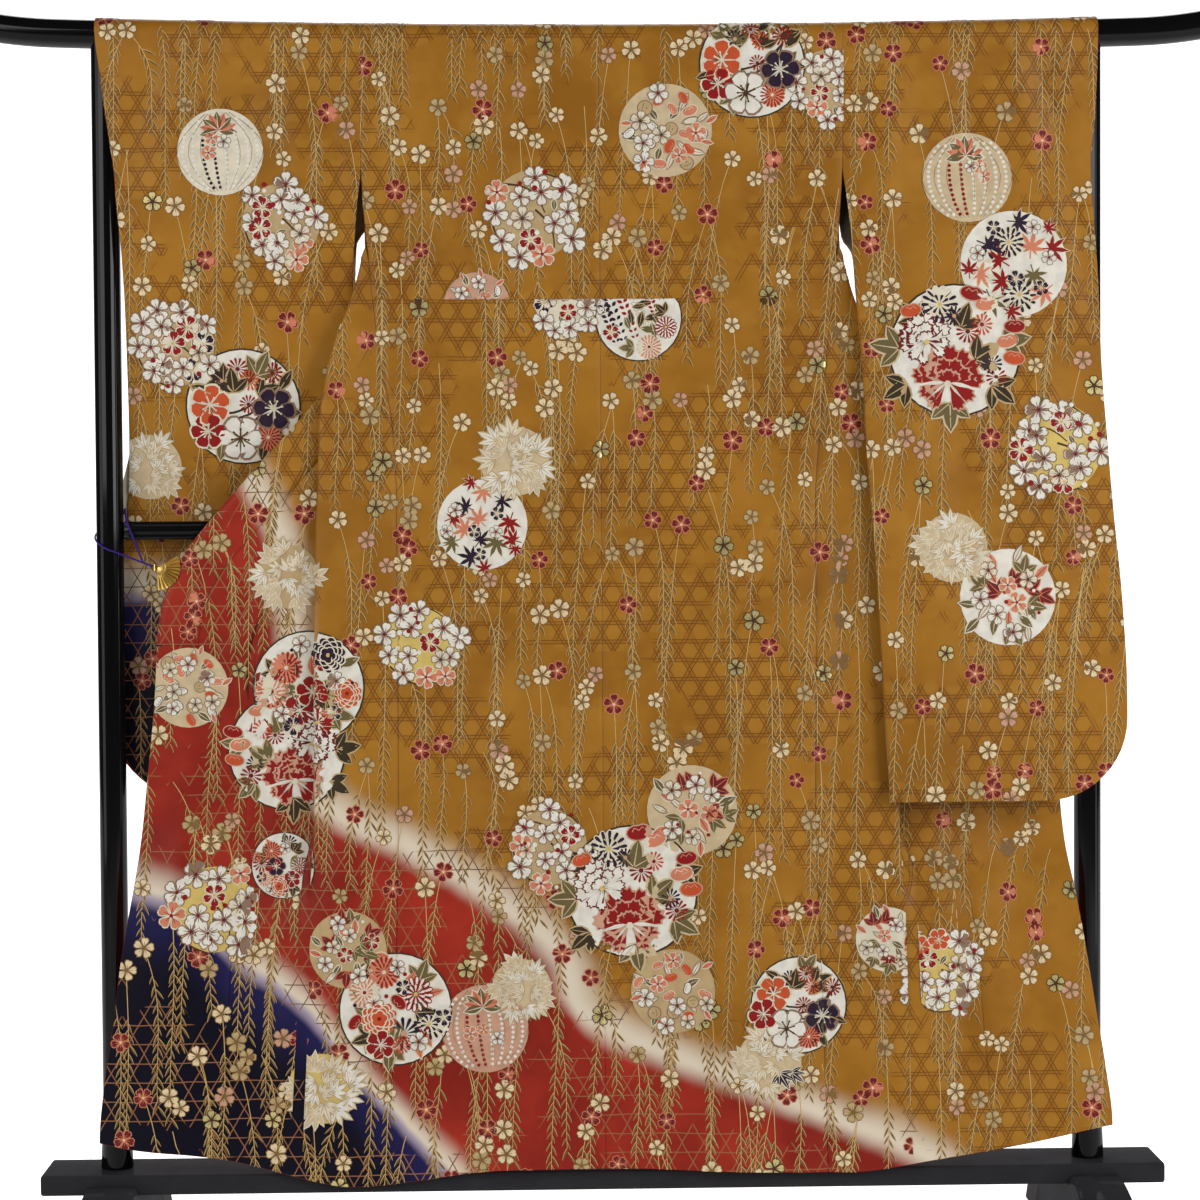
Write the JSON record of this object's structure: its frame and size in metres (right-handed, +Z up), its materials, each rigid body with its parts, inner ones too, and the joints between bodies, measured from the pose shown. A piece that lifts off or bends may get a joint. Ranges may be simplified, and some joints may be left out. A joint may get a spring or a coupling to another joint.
{
  "type": "furisode on a kimono stand",
  "caption": "Long-sleeved formal kimono hung spread out on a black lacquered kimono stand, its back outwards, the bar through both sleeves",
  "frame": {"origin": "On the floor, in the middle of the stand's footprint.", "axes": "+X runs along the top bar, +Z is up, and -Y is the side that the garment's back faces."},
  "size_m": [1.748, 0.42, 1.6673],
  "materials": {
    "gold_silk": "old-gold figured silk with a dyed pattern",
    "red_silk": "vermilion silk with a dyed pattern",
    "black_lacquer": "black lacquer, polished",
    "gilt": "gilt sheet, polished",
    "purple_cord": "braided purple silk"
  },
  "bodies": {
    "root": {"back_left": "gold_silk", "back_right": "gold_silk", "base_beam": "black_lacquer", "clip_cord": "purple_cord", "collar_clip": "gilt", "collar_left": "red_silk", "collar_neck": "gold_silk", "collar_right": "red_silk", "foot_left": "black_lacquer", "foot_right": "black_lacquer", "front_left": "gold_silk", "front_right": "gold_silk", "front_shoulder_left": "gold_silk", "front_shoulder_right": "gold_silk", "middle_rail": "black_lacquer", "okumi_left": "red_silk", "okumi_right": "red_silk", "post_left": "black_lacquer", "post_right": "black_lacquer", "sleeve_left_far": "gold_silk", "sleeve_left_near": "gold_silk", "sleeve_right_far": "gold_silk", "sleeve_right_near": "gold_silk", "top_bar": "black_lacquer"}
  },
  "joints": []
}
